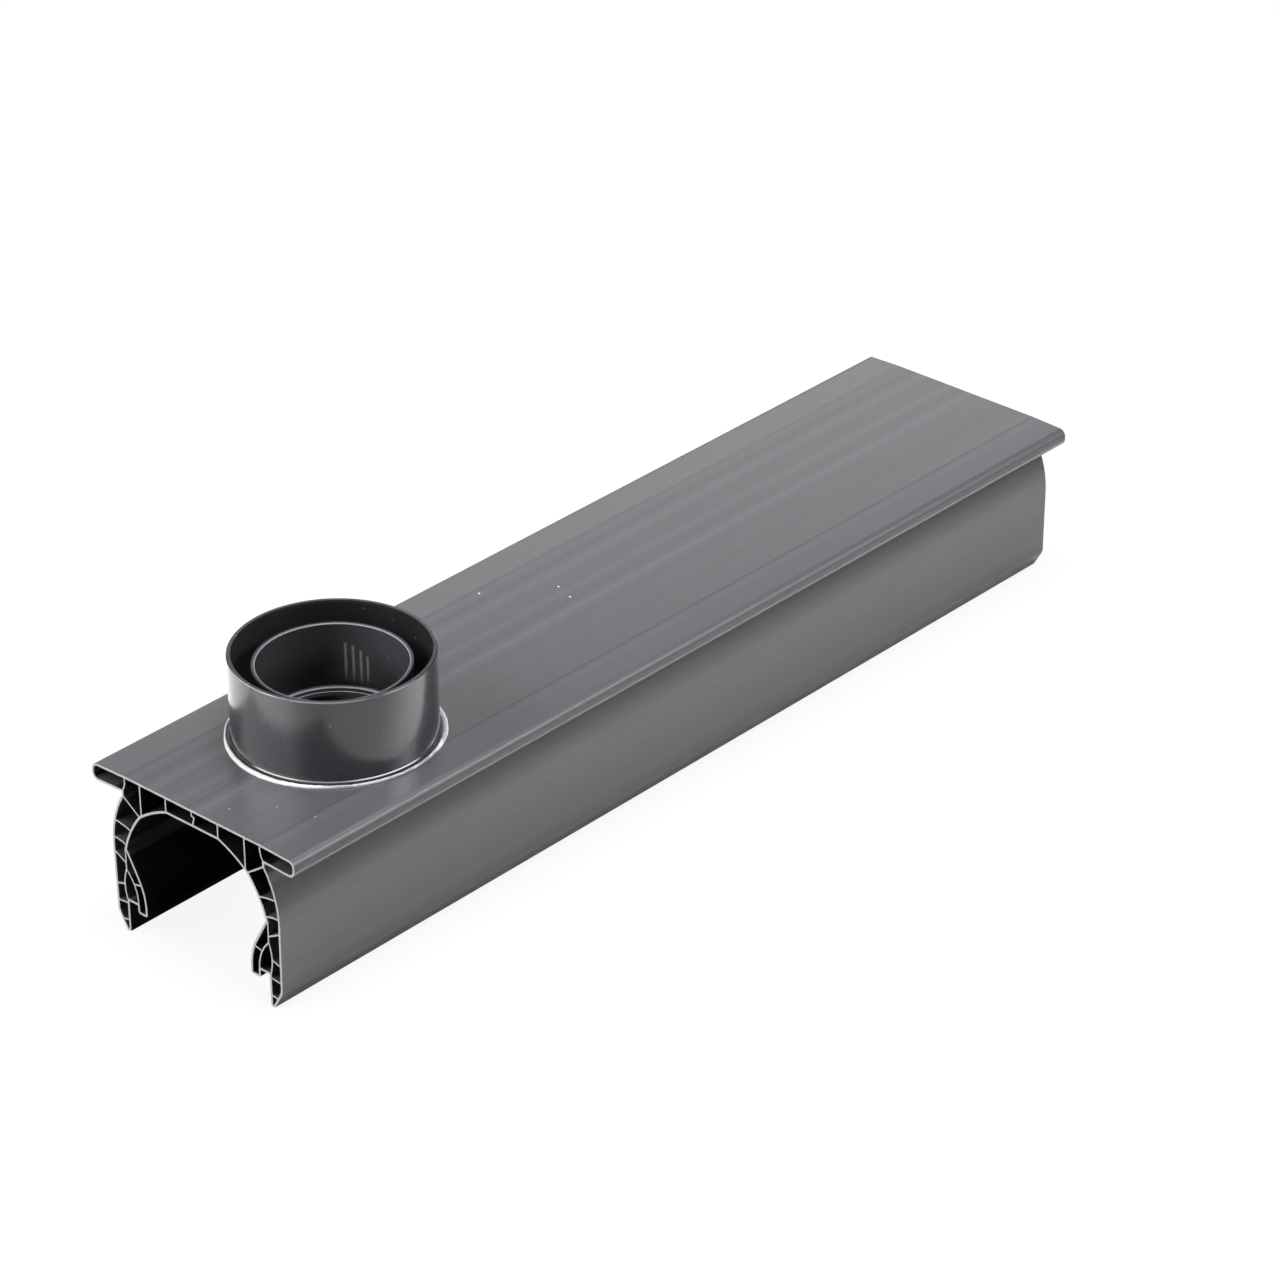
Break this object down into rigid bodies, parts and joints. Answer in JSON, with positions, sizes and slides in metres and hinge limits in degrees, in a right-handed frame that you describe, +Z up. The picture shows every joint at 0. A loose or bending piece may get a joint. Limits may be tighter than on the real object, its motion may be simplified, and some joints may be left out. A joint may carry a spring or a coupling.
{
  "type": "channel drain",
  "caption": "Hollow-section plastic channel drain, turned bed face up, with lipped rims that hold a grating and a pipe outlet made of a socket inside a collar.",
  "frame": {"origin": "on the floor under the middle of the channel, where it stands on its two rims, turned over from its place of use", "axes": "+Z up through the bed face and along the outlet, +Y along the channel from the outlet end to the far end, +X across it"},
  "size_m": [0.15, 0.63, 0.1462],
  "materials": {
    "channel_plastic": "satin, drawn lengthways",
    "outlet_plastic": "smooth moulded",
    "glue": "wet gloss"
  },
  "bodies": {
    "root": {"channel_body": "channel_plastic", "outlet_fitting": "outlet_plastic", "glue_bead": "glue"}
  },
  "joints": []
}
